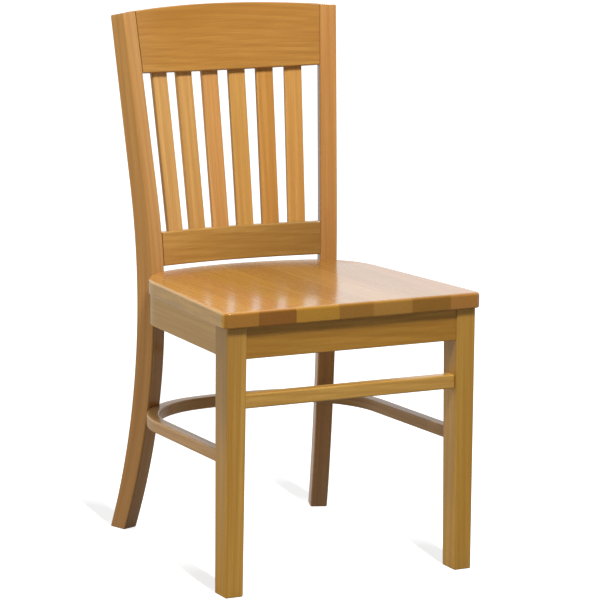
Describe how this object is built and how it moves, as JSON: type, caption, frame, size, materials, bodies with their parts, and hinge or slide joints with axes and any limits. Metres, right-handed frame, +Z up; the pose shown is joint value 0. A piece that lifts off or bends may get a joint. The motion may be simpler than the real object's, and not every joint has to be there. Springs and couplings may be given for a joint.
{
  "type": "wooden dining chair",
  "caption": "Rigid wooden chair with a curved slatted back, a flat seat of glued staves, tapered front legs, a bent seat frame and a bent hoop stretcher.",
  "frame": {"origin": "on the floor, under the middle of the chair's bounding box", "axes": "+Z up, -Y to the front of the seat, +X to the right of someone who looks at the front"},
  "size_m": [0.452, 0.5117, 0.864],
  "materials": {
    "leg_wood": "satin lacquer",
    "frame_wood": "satin lacquer",
    "hoop_wood": "satin lacquer",
    "rail_wood": "satin lacquer",
    "slat_wood": "satin lacquer",
    "stave_wood": "satin lacquer",
    "stave_wood_warm": "satin lacquer",
    "block_wood": "raw sanded",
    "dowel_wood": "raw",
    "screw_steel": "zinc plated"
  },
  "bodies": {
    "root": {"rear_leg_left": "leg_wood", "rear_leg_right": "leg_wood", "front_leg_left": "leg_wood", "front_leg_right": "leg_wood", "bent_apron": "frame_wood", "front_apron": "frame_wood", "front_stretcher": "frame_wood", "hoop_stretcher": "hoop_wood", "crest_rail": "rail_wood", "lower_back_rail": "rail_wood", "slat_1": "slat_wood", "slat_2": "slat_wood", "slat_3": "slat_wood", "slat_4": "slat_wood", "slat_5": "slat_wood", "slat_6": "slat_wood", "seat_stave_1": "stave_wood", "seat_stave_2": "stave_wood_warm", "seat_stave_3": "stave_wood", "seat_stave_4": "stave_wood_warm", "seat_stave_5": "stave_wood", "seat_stave_6": "stave_wood_warm", "seat_stave_7": "stave_wood", "corner_block_left": "block_wood", "corner_block_right": "block_wood", "apron_dowels": "dowel_wood", "hoop_dowels": "dowel_wood", "leg_screws": "screw_steel", "seat_screws": "screw_steel"}
  },
  "joints": []
}
